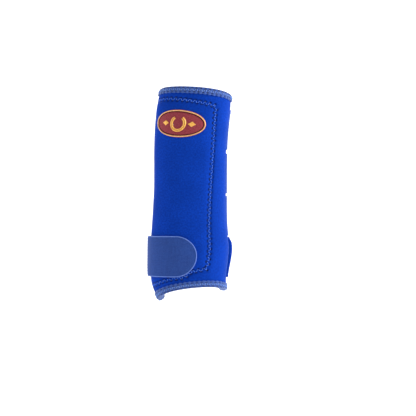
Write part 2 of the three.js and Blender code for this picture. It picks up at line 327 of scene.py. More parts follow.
class Nodes:
    """A material's node tree, with short ways to add to it."""

    def __init__(self, name, roughness, sheen=0.0, sheen_tint=(1, 1, 1), metallic=0.0, coat=0.0, gloss=0.12):
        self.material = bpy.data.materials.new(name)
        self.material.use_nodes = True
        self.tree = self.material.node_tree
        self.shader = self.tree.nodes["Principled BSDF"]
        self.set(self.shader, Roughness=roughness, Metallic=metallic, Coat_Weight=coat)
        self.set(self.shader, Sheen_Weight=sheen, Sheen_Tint=sheen_tint, Sheen_Roughness=0.3)
        self.set(self.shader, Specular_IOR_Level=gloss)

    def feed(self, socket, value):
        """Links a socket to the value if that is a socket too, or else sets it."""
        if isinstance(value, bpy.types.NodeSocket):
            self.tree.links.new(value, socket)
        else:
            socket.default_value = (*value, 1) if socket.type == "RGBA" else value

    def set(self, node, **values):
        for key, value in values.items():
            self.feed(node.inputs[key.replace("_", " ")], value)

    def add(self, kind, settings=None, **values):
        node = self.tree.nodes.new(kind)
        for key, value in (settings or {}).items():
            setattr(node, key, value)
        self.set(node, **values)
        return node

    def mark(self, name, key="Vector"):
        return self.add("ShaderNodeAttribute", {"attribute_name": name}).outputs[key]

    def scaled(self, vector, x, y):
        node = self.add("ShaderNodeVectorMath", {"operation": "MULTIPLY"})
        self.feed(node.inputs[0], vector)
        self.feed(node.inputs[1], (x, y, 1))
        return node.outputs["Vector"]

    def noise(self, vector, size, detail=2.0):
        node = self.add("ShaderNodeTexNoise", Vector=vector, Scale=1 / size, Detail=detail)
        return node.outputs["Fac"]

    def wave(self, vector, direction, period, distortion=0.0):
        """Sine bands a period apart, in the vector's own units."""
        scale = math.pi / 10 / period
        settings = {"wave_type": "BANDS", "bands_direction": direction}
        node = self.add("ShaderNodeTexWave", settings, Vector=vector, Scale=scale, Distortion=distortion)
        return node.outputs["Fac"]

    def cells(self, vector, size, randomness=1.0):
        node = self.add("ShaderNodeTexVoronoi", Vector=vector, Scale=1 / size, Randomness=randomness)
        return node.outputs["Distance"]

    def sum(self, a, b, operation="ADD"):
        node = self.add("ShaderNodeMath", {"operation": operation})
        self.feed(node.inputs[0], a)
        self.feed(node.inputs[1], b)
        return node.outputs[0]

    def blend(self, factor, a, b):
        """Mixes two colours, each three numbers or a socket."""
        node = self.add("ShaderNodeMix", {"data_type": "RGBA"})
        colour_inputs = [s for s in node.inputs if s.type == "RGBA"]
        for socket, value in zip([node.inputs[0], *colour_inputs], (factor, a, b)):
            self.feed(socket, value)
        return next(s for s in node.outputs if s.type == "RGBA")

    def remap(self, value, low, high, to_low=0.0, to_high=1.0):
        node = self.add("ShaderNodeMapRange", {"clamp": True}, Value=value)
        self.set(node, From_Min=low, From_Max=high, To_Min=to_low, To_Max=to_high)
        return node.outputs["Result"]

    def marked(self, colour, name, low, high, most, other):
        """Mixes another colour in where a mark is high."""
        return self.blend(self.remap(self.mark(name, "Fac"), low, high, 0, most), colour, other)

    def bump(self, height, depth, below=None):
        node = self.add("ShaderNodeBump", Height=height, Distance=depth * MM)
        if below is not None:
            self.set(node, Normal=below)
        return node.outputs["Normal"]

    def finish(self, colour, normal, roughness=None):
        self.set(self.shader, Base_Color=colour, Normal=normal)
        if roughness is not None:
            self.set(self.shader, Roughness=roughness)
        return self.material


NEOPRENE_BLUE = (0.002, 0.037, 0.33)
NEOPRENE_MID = (0.001, 0.028, 0.25)
NEOPRENE_DEEP = (0.001, 0.013, 0.13)
TAPE_BLUE = (0.034, 0.076, 0.26)
TAPE_DEEP = (0.014, 0.035, 0.16)
WEBBING_BLUE = (0.013, 0.048, 0.21)
WEBBING_DEEP = (0.009, 0.028, 0.13)
THREAD_BLUE = (0.06, 0.20, 0.84)
TAPE_THREAD_BLUE = (0.20, 0.34, 0.76)


def neoprene_material():
    """Nylon jersey bonded to foam: fine knit rows and a brushed sheen, with painted shade in the needle pits
    at the stitches.
    """
    m = Nodes("neoprene", 0.82, sheen=0.22, sheen_tint=(0.22, 0.42, 1.0), gloss=0.03)
    cloth = m.mark("cloth")
    ribs = m.wave(cloth, "X", 0.85, 0.6)
    rows = m.wave(cloth, "Y", 0.7, 0.6)
    knit = m.sum(ribs, rows, "MULTIPLY")
    fuzz = m.noise(cloth, 0.9, 3)
    specks = m.noise(cloth, 2.1, 3)
    patches = m.noise(cloth, 30, 2)
    colour = m.blend(m.remap(patches, 0.25, 0.75), NEOPRENE_MID, NEOPRENE_BLUE)
    colour = m.blend(m.remap(specks, 0.35, 0.68, 0.55, 0), colour, NEOPRENE_DEEP)
    colour = m.blend(m.remap(m.sum(knit, fuzz), 0.3, 1.1, 0.45, 0), colour, NEOPRENE_DEEP)
    # Painted shade: the needle pits are darkened in the colour, standing in for the shade that falls in them.
    colour = m.marked(colour, "pits", 0.06, 0.58, 0.95, (0.001, 0.006, 0.045))
    normal = m.bump(knit, 0.07)
    normal = m.bump(fuzz, 0.12, normal)
    normal = m.bump(specks, 0.22, normal)
    rough = m.remap(fuzz, 0.3, 0.7, 0.76, 0.9)
    return m.finish(colour, normal, rough)


def lining_material():
    """Black perforated neoprene against the leg."""
    m = Nodes("lining", 0.8, sheen=0.15)
    cloth = m.mark("cloth")
    holes = m.remap(m.cells(cloth, 4.5, 0.0), 0.12, 0.2)
    grain = m.noise(cloth, 0.8, 3)
    colour = m.blend(holes, (0.001, 0.001, 0.001), (0.018, 0.019, 0.023))
    colour = m.blend(m.remap(grain, 0.3, 0.7, 0, 0.35), colour, (0.035, 0.036, 0.042))
    normal = m.bump(holes, 0.5)
    normal = m.bump(grain, 0.06, normal)
    return m.finish(colour, normal)


def foam_material():
    m = Nodes("foam", 0.95)
    cloth = m.mark("cloth")
    pores = m.cells(cloth, 0.9)
    colour = m.blend(m.remap(pores, 0.2, 0.8), (0.012, 0.012, 0.014), (0.035, 0.036, 0.04))
    return m.finish(colour, m.bump(pores, 0.25))


def tape_material():
    """Ribbed woven tape, lighter and shinier than the neoprene, drawn into pits by its stitches, with painted
    shade in the pits.
    """
    m = Nodes("tape", 0.62, sheen=0.5, sheen_tint=(0.55, 0.7, 1.0))
    cloth = m.mark("cloth")
    ribs = m.wave(cloth, "X", 0.75, 1.0)
    weft = m.wave(cloth, "Y", 0.6, 0.8)
    weave = m.sum(ribs, m.sum(weft, 0.5, "MULTIPLY"))
    grime = m.noise(cloth, 3.0, 3)
    colour = m.blend(m.remap(weave, 0.2, 1.3), TAPE_DEEP, TAPE_BLUE)
    colour = m.blend(m.remap(grime, 0.3, 0.75, 0.1, 0.55), colour, TAPE_BLUE)
    # Painted shade: the tape's stitch pits are darkened in the colour, standing in for the shade in them.
    colour = m.marked(colour, "pits", 0.1, 0.6, 0.95, (0.004, 0.012, 0.07))
    return m.finish(colour, m.bump(weave, 0.12))


def webbing_material():
    """Woven backing of hook tape: close warp threads with a faint twill, and a matt, greyer blue."""
    m = Nodes("webbing", 0.78, sheen=0.12, sheen_tint=(0.5, 0.6, 0.95), gloss=0.08)
    cloth = m.mark("cloth")
    warp = m.wave(cloth, "Y", 0.62, 0.5)
    weft = m.wave(cloth, "X", 0.8, 0.5)
    twill = m.wave(cloth, "DIAGONAL", 1.3, 0.8)
    weave = m.sum(m.sum(warp, weft, "MULTIPLY"), m.sum(twill, 0.4, "MULTIPLY"))
    wear = m.noise(cloth, 1.6, 4)
    colour = m.blend(m.remap(weave, 0.1, 1.0), WEBBING_DEEP, WEBBING_BLUE)
    upright = m.noise(m.scaled(cloth, 1, 0.12), 1.5, 3)
    level = m.noise(m.scaled(cloth, 0.12, 1), 1.5, 3)
    streaks = m.sum(upright, level)
    colour = m.blend(m.remap(streaks, 0.85, 1.15), m.blend(0.85, colour, WEBBING_DEEP), colour)
    colour = m.blend(m.remap(wear, 0.35, 0.7, 0, 0.45), colour, (0.030, 0.066, 0.24))
    colour = m.marked(colour, "edge", 0.2, 1, 0.6, (0.07, 0.13, 0.42))
    normal = m.bump(streaks, 0.12, m.bump(weave, 0.08))
    return m.finish(colour, normal, m.remap(wear, 0.3, 0.7, 0.7, 0.86))


def loop_material():
    """Brushed loop pile, which the straps' hooks hold to."""
    m = Nodes("loop_pile", 0.9, sheen=0.6, sheen_tint=(0.4, 0.55, 1.0))
    cloth = m.mark("cloth")
    pile = m.cells(cloth, 0.8)
    brushed = m.noise(cloth, 3.0, 5)
    colour = m.blend(m.remap(pile, 0.1, 0.7), NEOPRENE_BLUE, (0.006, 0.03, 0.22))
    colour = m.blend(m.remap(brushed, 0.35, 0.7, 0, 0.5), colour, (0.03, 0.10, 0.50))
    normal = m.bump(pile, 0.15)
    return m.finish(colour, m.bump(brushed, 0.3, normal))


def hook_material():
    """Moulded hooks in close rows."""
    m = Nodes("hooks", 0.5)
    cloth = m.mark("cloth")
    hooks = m.cells(cloth, 1.3, 0.15)
    colour = m.blend(m.remap(hooks, 0.1, 0.5), (0.02, 0.045, 0.2), (0.004, 0.01, 0.05))
    tips = m.remap(hooks, 0.05, 0.45, 1, 0)
    return m.finish(colour, m.bump(tips, 0.5))


def thread_material(name, bright, deep):
    """Twisted thread: its strands show as fine slanting bands."""
    m = Nodes(name, 0.5, sheen=0.3)
    cloth = m.mark("cloth")
    strands = m.wave(cloth, "DIAGONAL", 0.7)
    colour = m.blend(strands, deep, bright)
    # Painted shade: where a stitch sinks into its needle hole, the thread is darkened in the colour.
    colour = m.marked(colour, "sunk", 0.1, 0.75, 0.95, (0.002, 0.008, 0.05))
    return m.finish(colour, m.bump(strands, 0.05))


def badge_material():
    """Burgundy rubber patch with a pressed grain."""
    m = Nodes("badge", 0.65, gloss=0.08)
    cloth = m.mark("cloth")
    grain = m.noise(cloth, 0.9, 4)
    mottle = m.noise(cloth, 2.4, 3)
    colour = m.blend(m.remap(grain, 0.35, 0.65), (0.075, 0.009, 0.014), (0.25, 0.040, 0.050))
    colour = m.blend(m.remap(mottle, 0.3, 0.7, 0, 0.5), colour, (0.17, 0.026, 0.036))
    # Painted shade: the groove inside the gold rim is darkened in the colour.
    colour = m.marked(colour, "groove", 0.2, 0.9, 0.92, (0.022, 0.003, 0.006))
    return m.finish(colour, m.bump(grain, 0.22), m.remap(mottle, 0.3, 0.7, 0.5, 0.72))


def gold_material(name, bright, deep, roughness):
    m = Nodes(name, roughness, metallic=0.25, coat=0.1, gloss=0.3)
    cloth = m.mark("cloth")
    wear = m.noise(cloth, 1.8, 4)
    colour = m.blend(m.remap(wear, 0.3, 0.7), deep, bright)
    # Painted shade: grooves, such as the one along the horseshoe, are darkened in the colour.
    colour = m.marked(colour, "groove", 0.2, 0.9, 0.8, (0.10, 0.02, 0.01))
    rough = m.remap(wear, 0.3, 0.7, roughness - 0.08, roughness + 0.12)
    return m.finish(colour, m.bump(wear, 0.08), rough)


NEOPRENE = neoprene_material()
LINING_CLOTH = lining_material()
FOAM = foam_material()
TAPE_CLOTH = tape_material()
WEBBING_CLOTH = webbing_material()
LOOP_PILE = loop_material()
HOOKS = hook_material()
THREAD = thread_material("thread", THREAD_BLUE, (0.010, 0.05, 0.34))
TAPE_THREAD = thread_material("tape_thread", TAPE_THREAD_BLUE, (0.05, 0.11, 0.36))
RIM_THREAD = thread_material("rim_thread", (0.09, 0.17, 0.50), (0.04, 0.085, 0.28))
BADGE_RUBBER = badge_material()
RIM_GOLD = gold_material("rim_gold", (0.66, 0.37, 0.16), (0.42, 0.20, 0.07), 0.45)
MOTIF_GOLD = gold_material("motif_gold", (0.66, 0.36, 0.07), (0.42, 0.19, 0.03), 0.42)


# -------- the stitched outline of the pad

SEAM_FRONT = profile(((-92, 295.5), (-51, 298.7), (0, 301.2), (59, 306), (109, 304.8), (120, 304.5)))
SEAM_TOP = profile(((187, 15), (250, 16.5), (305, 21)))
SEAM_BOTTOM = profile((
    (187, -114), (216, -110), (234, -106), (250, -103),
    (264, -101.5), (272, -95.5), (286, -92.5), (296, -91.5),
))
SEAM_BACK = 189
SEAM_TOP_CORNER = 304.6
SEAM_LOW_CORNER = (295.5, -91.5)
SEAM_SIDE_POINTS = 60
SEAM_STEP = 0.5
SEAM_CORNER_POINTS = 8
ZIGZAG = 3.15
ZIGZAG_HEIGHT = 4.0
PIT_RADIUS = 1.3


def seam_loop():
    """The pad's stitched outline, as evenly spaced points of (millimetres round the leg, height)."""
    def between(a, b):
        return np.linspace(a, b, SEAM_SIDE_POINTS)

    low_angle, low_z = SEAM_LOW_CORNER
    top = [(a, hem(TOP_HEM, a) - SEAM_TOP(a)) for a in between(SEAM_BACK, SEAM_TOP_CORNER)]
    upright = [(SEAM_FRONT(z), z) for z in between(top[-1][1], low_z)]
    bottom = [(a, SEAM_BOTTOM(a)) for a in between(low_angle, SEAM_BACK)]
    back = [(SEAM_BACK, z) for z in between(bottom[-1][1], top[0][1])]
    sides = [np.array([(around_mm(a), z) for a, z in side]) for side in (top, upright, bottom, back)]
    loop = np.concatenate([side[:-1] for side in sides])
    even = resample(np.concatenate([loop, loop[:1]]), SEAM_STEP)[:-1]
    kernel = np.hanning(2 * SEAM_CORNER_POINTS + 1)
    kernel /= kernel.sum()
    wrapped = np.concatenate([even[-SEAM_CORNER_POINTS:], even, even[:SEAM_CORNER_POINTS]])
    return np.stack([np.convolve(wrapped[:, k], kernel, "valid") for k in (0, 1)], -1)


def spread(path, count):
    """Points evenly spaced along a path."""
    lengths = lengths_along(path)
    at = np.linspace(0, lengths[-1], count)
    return np.stack([np.interp(at, lengths, column) for column in path.T], -1)


def resample(path, step):
    return spread(path, max(2, round(lengths_along(path)[-1] / step) + 1))


def to_left(path):
    """The unit vectors to the left of a flat path."""
    along = unit(np.gradient(path, axis=0))
    return np.stack([-along[:, 1], along[:, 0]], -1)


def zigzag(path, closed=False):
    """The needle holes of a zigzag along a flat path: alternately to its left and right."""
    count = round(lengths_along(path)[-1] / ZIGZAG / 2) * 2 + 1
    middle = spread(path, count)
    side = np.where(np.arange(count) % 2, 1, -1) * ZIGZAG_HEIGHT / 2
    holes = middle + to_left(middle) * side[:, None]
    if closed:
        holes[-1] = holes[0]
    return holes


def nearest(points, targets, chunk=4000):
    """The distance from each point to the nearest target."""
    flat = points.reshape(-1, 2).astype(np.float32)
    targets = targets.astype(np.float32)
    found = np.empty(len(flat), np.float32)
    for i in range(0, len(flat), chunk):
        d = flat[i:i + chunk, None] - targets[None]
        found[i:i + chunk] = np.sqrt((d * d).sum(-1).min(1))
    return found.reshape(points.shape[:-1]).astype(float)


def inside_loop(points, loop):
    """Whether each point lies inside a closed flat path."""
    x, y = points[..., 0], points[..., 1]
    inside = np.zeros(x.shape, bool)
    for (xa, ya), (xb, yb) in zip(loop, np.roll(loop, -1, axis=0)):
        crosses = (ya > y) != (yb > y)
        if ya != yb:
            inside ^= crosses & (x < (xb - xa) * (y - ya) / (yb - ya) + xa)
    return inside


LOOP = seam_loop()
LOOP_HOLES = zigzag(np.concatenate([LOOP, LOOP[:1]]), closed=True)
BACK_SEAM_INSET = 8
BACK_SEAM_POINTS = 80


def back_seam_path():
    low, high = hem(BOTTOM_HEM, BACK_SEAM) + BACK_SEAM_INSET, hem(TOP_HEM, BACK_SEAM) - BACK_SEAM_INSET
    z = np.linspace(low, high, BACK_SEAM_POINTS)
    return np.stack([np.full(BACK_SEAM_POINTS, around_mm(BACK_SEAM)), z], -1)


BACK_SEAM_HOLES = zigzag(back_seam_path())
ALL_HOLES = np.concatenate([LOOP_HOLES, BACK_SEAM_HOLES])
PAD_PUFF = 0.9
PUFF_REACH = 11
GROOVE_DEPTH = 0.9
GROOVE_WIDTH = 3.2
PIT_DEPTH = 1.2
HEM_CALM = (9, 16)


def needle_pits(at, holes):
    """How much each flat point is in a needle pit."""
    return np.exp(-((nearest(at, holes) / PIT_RADIUS) ** 2))


def shell_face(angle, z):
    """How far the soft skin stands from its plain surface, and how much a point is in a needle pit."""
    at = np.stack(np.broadcast_arrays(around_mm(angle), z), -1)
    to_seam = nearest(at, LOOP)
    within = inside_loop(at, LOOP)
    puff = PAD_PUFF * smooth(np.where(within, to_seam, 0), 0, PUFF_REACH)
    groove = -GROOVE_DEPTH * np.exp(-((to_seam / GROOVE_WIDTH) ** 2))
    pits = needle_pits(at, ALL_HOLES)
    u, v = at[..., 0], at[..., 1]
    waves = 0.22 * np.sin(u / 17 + 1.3) * np.sin(v / 23 + 0.4) + 0.12 * np.sin(u / 9 - v / 13)
    near_hem = np.minimum(hem(TOP_HEM, angle) - z, z - hem(BOTTOM_HEM, angle))
    inner_share = smooth(near_hem, *HEM_CALM)
    return (puff + waves - 0.1) * inner_share + groove - PIT_DEPTH * pits, pits


# -------- shell, lining and pad

SHELL_MARGIN = TAPE + CLEAR


BADGE_SIDE = 250
PANEL_HEIGHT = hem(TOP_HEM, BADGE_SIDE) - hem(BOTTOM_HEM, BADGE_SIDE)


def panel_grid(angles, shares):
    """A panel's angles and heights, from shares of the way up between the hems."""
    angle = np.repeat(angles[:, None], len(shares), axis=1)
    low = hem(BOTTOM_HEM, angle) + SHELL_MARGIN
    high = hem(TOP_HEM, angle) - SHELL_MARGIN
    return angle, low + (high - low) * shares[None]


def rounded_sides(angle, at, radius):
    """The share of a panel's thickness, less at its two upright edges."""
    to_edge = np.minimum(angle - angle[0], angle[-1] - angle) / degrees_per_mm(at, 0)
    return rounded(np.maximum(to_edge, 0), radius)


def wrap_blend(piece):
    """Bakes the transform into a piece that runs from the sleeve round the front of the leg to the wrap."""
    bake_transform(piece)
    return piece


def stops_in_degrees(*stops):
    """As runs, with the values in degrees and the steps in millimetres round the leg."""
    mm = runs(*[(float(around_mm(angle)), step) for angle, step in stops])
    return angle_at(mm)


def skin_panel():
    """The neoprene skin round the leg, with a finer grid where the stitching runs."""
    angles = stops_in_degrees(
        (BACK_SEAM, 0.5), (BACK_SEAM + 1, 0.85), (BACK_SEAM + 7, 2.2), (SEAM_BACK - 5, 0.85),
        (SEAM_BACK + 6, 2.2), (291, 0.85), (311, 2.2), (FLAP_END - 1, 0.5), (FLAP_END, 1),
    )
    top = PANEL_HEIGHT
    heights = runs((0, 1.2), (9, 0.85), (37, 2.2), (top - 27, 0.85), (top - 11, 1.4), (top, 1))
    angle, z = panel_grid(angles, heights / top)
    face, pits = shell_face(angle, z)
    edge = rounded_sides(angle, 200, 1.6)
    return slab("outer_skin", angle, z, -SHELL, face, NEOPRENE, {"pits": pits}, edge)


outer_skin = wrap_blend(skin_panel())
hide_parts("outer_shell", "wrap_shell")


def loop_panel():
    """The panel of loop pile that the straps' hooks press on to."""
    angles = stops_in_degrees(
        (REAR_EDGE, 0.5), (REAR_EDGE + 1, 2.0), (BACK_SEAM - 8, 0.85), (BACK_SEAM - SEAM_GAP, 1)
    )
    angle, z = panel_grid(angles, runs((0, 0.004), (0.02, 0.008), (0.98, 0.004), (1, 1)))
    pits = needle_pits(np.stack([around_mm(angle), z], -1), BACK_SEAM_HOLES)
    edge = rounded_sides(angle, 110, 1.4)
    return slab("loop_panel", angle, z, -SHELL, -0.15 - PIT_DEPTH * pits, LOOP_PILE, share=edge)


panel = loop_panel()
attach(panel, "sleeve")

PAD_BACK = 191
PAD_FRONT_TOP = 306
PAD_FRONT_BOTTOM = 297
PAD_HEM_DISTANCE = 18
PAD_EDGE = 9
PAD_ROOM = 7
PAD = 4


def pad_depth(angle, z, spread):
    """How deep the room for the pad is at a point, as in the part's own source."""
    low, high = hem(BOTTOM_HEM, angle), hem(TOP_HEM, angle)
    front = mix(PAD_FRONT_BOTTOM, PAD_FRONT_TOP, (z - low) / (high - low))
    inward = np.minimum.reduce(
        [angle - PAD_BACK, front - angle, z - low - PAD_HEM_DISTANCE, high - PAD_HEM_DISTANCE - z]
    )
    return PAD * smooth(inward + spread, 0, PAD_EDGE + spread)


def lining_panel(name, start, end):
    angles = stops_in_degrees((start, 0.5), (start + 2, 2.4), (end - 2, 0.5), (end, 1))
    angle, z = panel_grid(angles, runs((0, 0.004), (0.02, 0.01), (0.98, 0.004), (1, 1)))
    outer = -(SHELL + CLEAR) - pad_depth(angle, z, PAD_ROOM)
    edge = rounded_sides(angle, 200, 1)
    piece = slab(name, angle, z, outer - LINING, outer, LINING_CLOTH, share=edge)
    return piece


lining = wrap_blend(lining_panel("leg_lining", BACK_SEAM, FLAP_END))
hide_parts("inner_lining", "wrap_lining")
rear_lining = lining_panel("rear_lining", REAR_EDGE, BACK_SEAM - SEAM_GAP)
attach(rear_lining, "sleeve")


def foam_pad():
    """The foam under the stitched outline, thin at its edges and full in the middle."""
    u = runs((0, 0.01), (0.08, 0.03), (0.92, 0.01), (1, 1))[:, None]
    v = runs((0, 0.01), (0.06, 0.03), (0.94, 0.01), (1, 1))[None]
    angle = mix(PAD_BACK, mix(PAD_FRONT_BOTTOM, PAD_FRONT_TOP, v), u)
    z = mix(hem(BOTTOM_HEM, angle) + PAD_HEM_DISTANCE, hem(TOP_HEM, angle) - PAD_HEM_DISTANCE, v)
    thickness = np.maximum(pad_depth(angle, z, 0) - 2 * CLEAR, 0.15)
    outer = -(SHELL + CLEAR)
    piece = slab("foam_pad", angle, z, outer - thickness, outer, FOAM)
    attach(piece, "sleeve")
    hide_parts("splint_pad")


foam_pad()


# -------- thread

THREAD_LOWEST = -0.95


def stitch_arch(rise, lift, sink, power=0.8):
    """How far a stitch stands over the cloth, from its way along: sunk at both ends and lifted between."""
    return np.sin(np.pi * rise) ** power * (lift + sink) - sink


STITCH_WAY = np.linspace(0, 1, 7)


def stitches(holes):
    """The skin's thread from hole to hole."""
    paths = []
    for a, b in zip(holes, holes[1:]):
        flat = a + (b - a) * STITCH_WAY[:, None]
        angle, z = angle_at(flat[:, 0]), flat[:, 1]
        cloth = np.maximum(shell_face(angle, z)[0], THREAD_LOWEST)
        thread = place(angle, z, cloth + stitch_arch(STITCH_WAY, 0.5, 0.9))
        paths.append(with_depth(thread))
    return paths


def with_depth(thread):
    """Adds how sunk each point of a stitch is."""
    return np.concatenate([thread, (1 - np.sin(np.pi * STITCH_WAY))[:, None]], axis=1)


def chained(paths):
    """Joins paths that end where the next one starts."""
    return [np.concatenate([paths[0], *[p[1:] for p in paths[1:]]])]


for thread_name, holes, radius in (
    ("seam_thread", LOOP_HOLES, 0.36), ("back_seam_thread", BACK_SEAM_HOLES, 0.42)
):
    thread = tube(thread_name, chained(stitches(holes)), radius, THREAD)
    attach(thread, "sleeve")


# -------- folded tapes

TAPE_OUT = TAPE_CLEAR + TAPE / 2
TAPE_IN = -(SHELL + CLEAR + LINING + TAPE_CLEAR_INSIDE) - TAPE / 2
TAPE_SCALLOP = 0.45
TAPE_STITCH = 2.8
TAPE_ROWS = (2.4, 6.4)
TAPE_PIT_RADIUS = 1.25
TAPE_PIT_DEPTH = 0.5
TAPE_GATHER = 0.22
TAPE_FOLD = (2.2, 0.45)


def tape_centre():
    """The folded tape's section, from one free edge to the other, as (offset, distance in from the fold)."""
    turn = np.linspace(0, np.pi, 11)
    start, crest = TAPE_FOLD
    half = (TAPE_OUT - TAPE_IN) / 2
    inwards = start - (start - crest) * np.sin(turn) ** 0.7
    fold = np.stack([(TAPE_OUT + TAPE_IN) / 2 + half * np.cos(turn), inwards], -1)
    legs = np.arange(TAPE_HEIGHT, start, -0.62)
    outer, inner = (np.stack([np.full(len(legs), offset), legs], -1) for offset in (TAPE_OUT, TAPE_IN))
    return np.concatenate([outer, fold, inner[::-1]])


def tape_pits(length, inwards):
    """How much a point of the tape is in a needle pit, from its length along the tape."""
    total = 0
    for k, row in enumerate(TAPE_ROWS):
        shifted = np.mod(length - k * TAPE_STITCH + TAPE_STITCH, 2 * TAPE_STITCH) - TAPE_STITCH
        total = total + np.exp(-(shifted**2 + (inwards - row) ** 2) / TAPE_PIT_RADIUS**2)
    return np.clip(total, 0, 1)


def tape_gather(length, inwards):
    """How far the stitches lift the tape between them."""
    across = np.sin(np.pi * np.clip(inwards / TAPE_HEIGHT, 0, 1))
    return TAPE_GATHER * np.cos(np.pi * length / TAPE_STITCH) * across


def binding(name, length, at, join, *replaces):
    """Stitched tape over an edge. at(length, offset, inwards) gives points, for lengths along the edge."""
    centre = tape_centre()
    offset, inwards = centre.T[:, None]
    outward = to_left(centre)
    outward *= np.sign(outward[0, 0])
    s = runs((0, 0.66), (length, 1))[:, None]
    pits = tape_pits(s, inwards)
    half = TAPE / 2 * rounded(TAPE_HEIGHT + 0.05 - inwards, 0.9)
    faces_by = (half - TAPE_PIT_DEPTH * pits + tape_gather(s, inwards), -half + 0 * pits)
    rings = []
    for by in faces_by:
        inward = inwards + by * outward[:, 1]
        scallop = TAPE_SCALLOP * np.cos(np.pi * s / TAPE_STITCH) * smooth(inward, 5, TAPE_HEIGHT)
        rings.append(at(s, offset + by * outward[:, 0], inward + scallop))
    points = np.concatenate([rings[0], rings[1][:, ::-1]], axis=1)
    index = np.arange(points[..., 0].size).reshape(points.shape[:2])
    ring = np.concatenate([index, index[:, :1]], axis=1)
    faces = grid_quads(ring)[:, ::-1].tolist() + [index[0].tolist(), index[-1, ::-1].tolist()]
    across = np.arange(len(centre))
    across = np.concatenate([across, across[::-1]]) * 0.7
    cloth = np.stack(np.broadcast_arrays(s, across[None], 0 * s), -1).reshape(-1, 3)
    marks = {"cloth": cloth, "pits": np.concatenate([pits, 0 * pits], axis=1).ravel()}
    piece = mesh_piece(name, points.reshape(-1, 3), faces, TAPE_CLOTH, marks)
    for part in (piece, tape_thread(name + "_thread", length, at)):
        join(part)
    if replaces:
        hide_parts(*replaces)


def tape_thread(name, length, at):
    """Zigzag stitching over the tape's outer face."""
    paths = []
    for k in range(int(length / TAPE_STITCH)):
        s = (k + STITCH_WAY) * TAPE_STITCH
        inwards = mix(TAPE_ROWS[k % 2], TAPE_ROWS[1 - k % 2], STITCH_WAY)
        offset = TAPE_OUT + TAPE / 2 + tape_gather(s, inwards) + stitch_arch(STITCH_WAY, 0.3, 0.65)
        paths.append(with_depth(at(s, offset, inwards)))
    return tube(name, chained(paths), 0.34, TAPE_THREAD, sides=5)


def hem_binding(name, start, end, side, join, *replaces):
    line = TOP_HEM if side > 0 else BOTTOM_HEM
    base = around_mm(start)

    def at(s, offset, inwards):
        angle = angle_at(base + s)
        return place(angle, hem(line, angle) - side * inwards, offset)

    binding(name, float(around_mm(end) - base), at, join, *replaces)


def edge_binding(name, edge, side, join, *replaces):
    low = hem(BOTTOM_HEM, edge) + TAPE_HEIGHT + CLEAR + 1
    high = hem(TOP_HEM, edge) - TAPE_HEIGHT - CLEAR - 1

    def at(s, offset, inwards):
        z = low + s
        angle = edge + side * (TAPE + CLEAR - inwards) * degrees_per_mm(edge, z)
        return place(angle, z, offset)

    binding(name, high - low, at, join, *replaces)


def rides(body):
    """A way to join a piece to the rest: it rides one body."""
    def join(piece):
        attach(piece, body)
    return join


hem_binding("top_tape", BACK_SEAM, FLAP_END, 1, wrap_blend, "top_binding", "wrap_top_binding")
hem_binding("bottom_tape", BACK_SEAM, FLAP_END, -1, wrap_blend, "bottom_binding", "wrap_bottom_binding")
hem_binding("rear_top_tape", REAR_EDGE, BACK_SEAM - 0.3, 1, rides("sleeve"))
hem_binding("rear_bottom_tape", REAR_EDGE, BACK_SEAM - 0.3, -1, rides("sleeve"))
edge_binding("rear_edge_tape", REAR_EDGE, -1, rides("sleeve"), "rear_edge_binding")
edge_binding("wrap_edge_tape", FLAP_EDGE, 1, rides("wrap"), "wrap_edge_binding")


# -------- straps and sling

WEBBING_INNER = max(HOOK + 2 * CLEAR, TAPE_CLEAR + TAPE + CLEAR)
NEAR_TIP = 15
RIM_INSET = 0.7
BOX_INSET = 3
STITCH_LONG = 2.6
STITCH_GAP = 1.0
STITCH_GRAIN = 0.2


def crowded_ends(count):
    """Values from -1 to 1 that crowd towards both ends."""
    return -np.cos(np.pi * np.linspace(0, 1, count))


def strap_grid(outline, inset):
    """A strap's grid of angles and heights, and each point's distance in from its outline, in millimetres."""
    root, tip, centre, height = outline
    radius = height / 2 - inset
    per_mm = degrees_per_mm(tip - NEAR_TIP, centre)
    rise = crowded_ends(33) * radius
    end = tip - (inset + radius - np.sqrt(np.maximum(radius**2 - rise**2, 0))) * per_mm
    length = (tip - root) / per_mm
    u = runs((0, 0.4), (1.5, 1.2), (length - 3, 0.3), (length, 1)) / length
    angle = root + (end[None] - root) * u[:, None]
    z = np.broadcast_to(centre + rise[None], angle.shape)
    s = (tip - angle) / per_mm - inset
    to_end = radius - np.hypot(np.maximum(radius - s, 0), rise[None])
    to_root = (angle - root) / per_mm
    return angle, z, np.maximum(np.minimum(to_end, to_root), 0)


def rim_path(outline):
    """Just inside a strap's outline: along the bottom, round the end and back along the top."""
    root, tip, centre, height = outline
    radius = height / 2 - RIM_INSET
    per_mm = degrees_per_mm(tip - NEAR_TIP, centre)
    straight_end = tip - (RIM_INSET + radius) * per_mm
    turn = np.linspace(-np.pi / 2, np.pi / 2, 60)
    arc = np.stack([straight_end + radius * np.cos(turn) * per_mm, centre + radius * np.sin(turn)], -1)
    start = root + RIM_INSET * per_mm
    path = np.concatenate([[(start, centre - radius)], arc, [(start, centre + radius)]])
    return resample(np.stack([around_mm(path[:, 0]), path[:, 1]], -1), 0.8)


def strap_piece(name, outline, low, high, material, slot, inset=0.0, edge_radius=0.9):
    """A round-ended piece between two faces, each a function of angle and height."""
    angle, z, distance = strap_grid(outline, inset)
    share = rounded(distance, edge_radius)
    edge = 1 - smooth(distance, 0.9, 1.5)
    piece = slab(name, angle, z, low(angle, z), high(angle, z), material, {"edge": edge}, share)
    return piece


def level(offset):
    """A strap's face that stays at one offset."""
    return lambda angle, z: offset


def hook_patch(name, outline, body, node):
    """The patch of hooks under a strap's free end."""
    hook = strap_piece(
        name, outline, level(CLEAR), level(CLEAR + HOOK), HOOKS, "hook", inset=1.0, edge_radius=0.4
    )
    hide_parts(node)
    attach(hook, body)


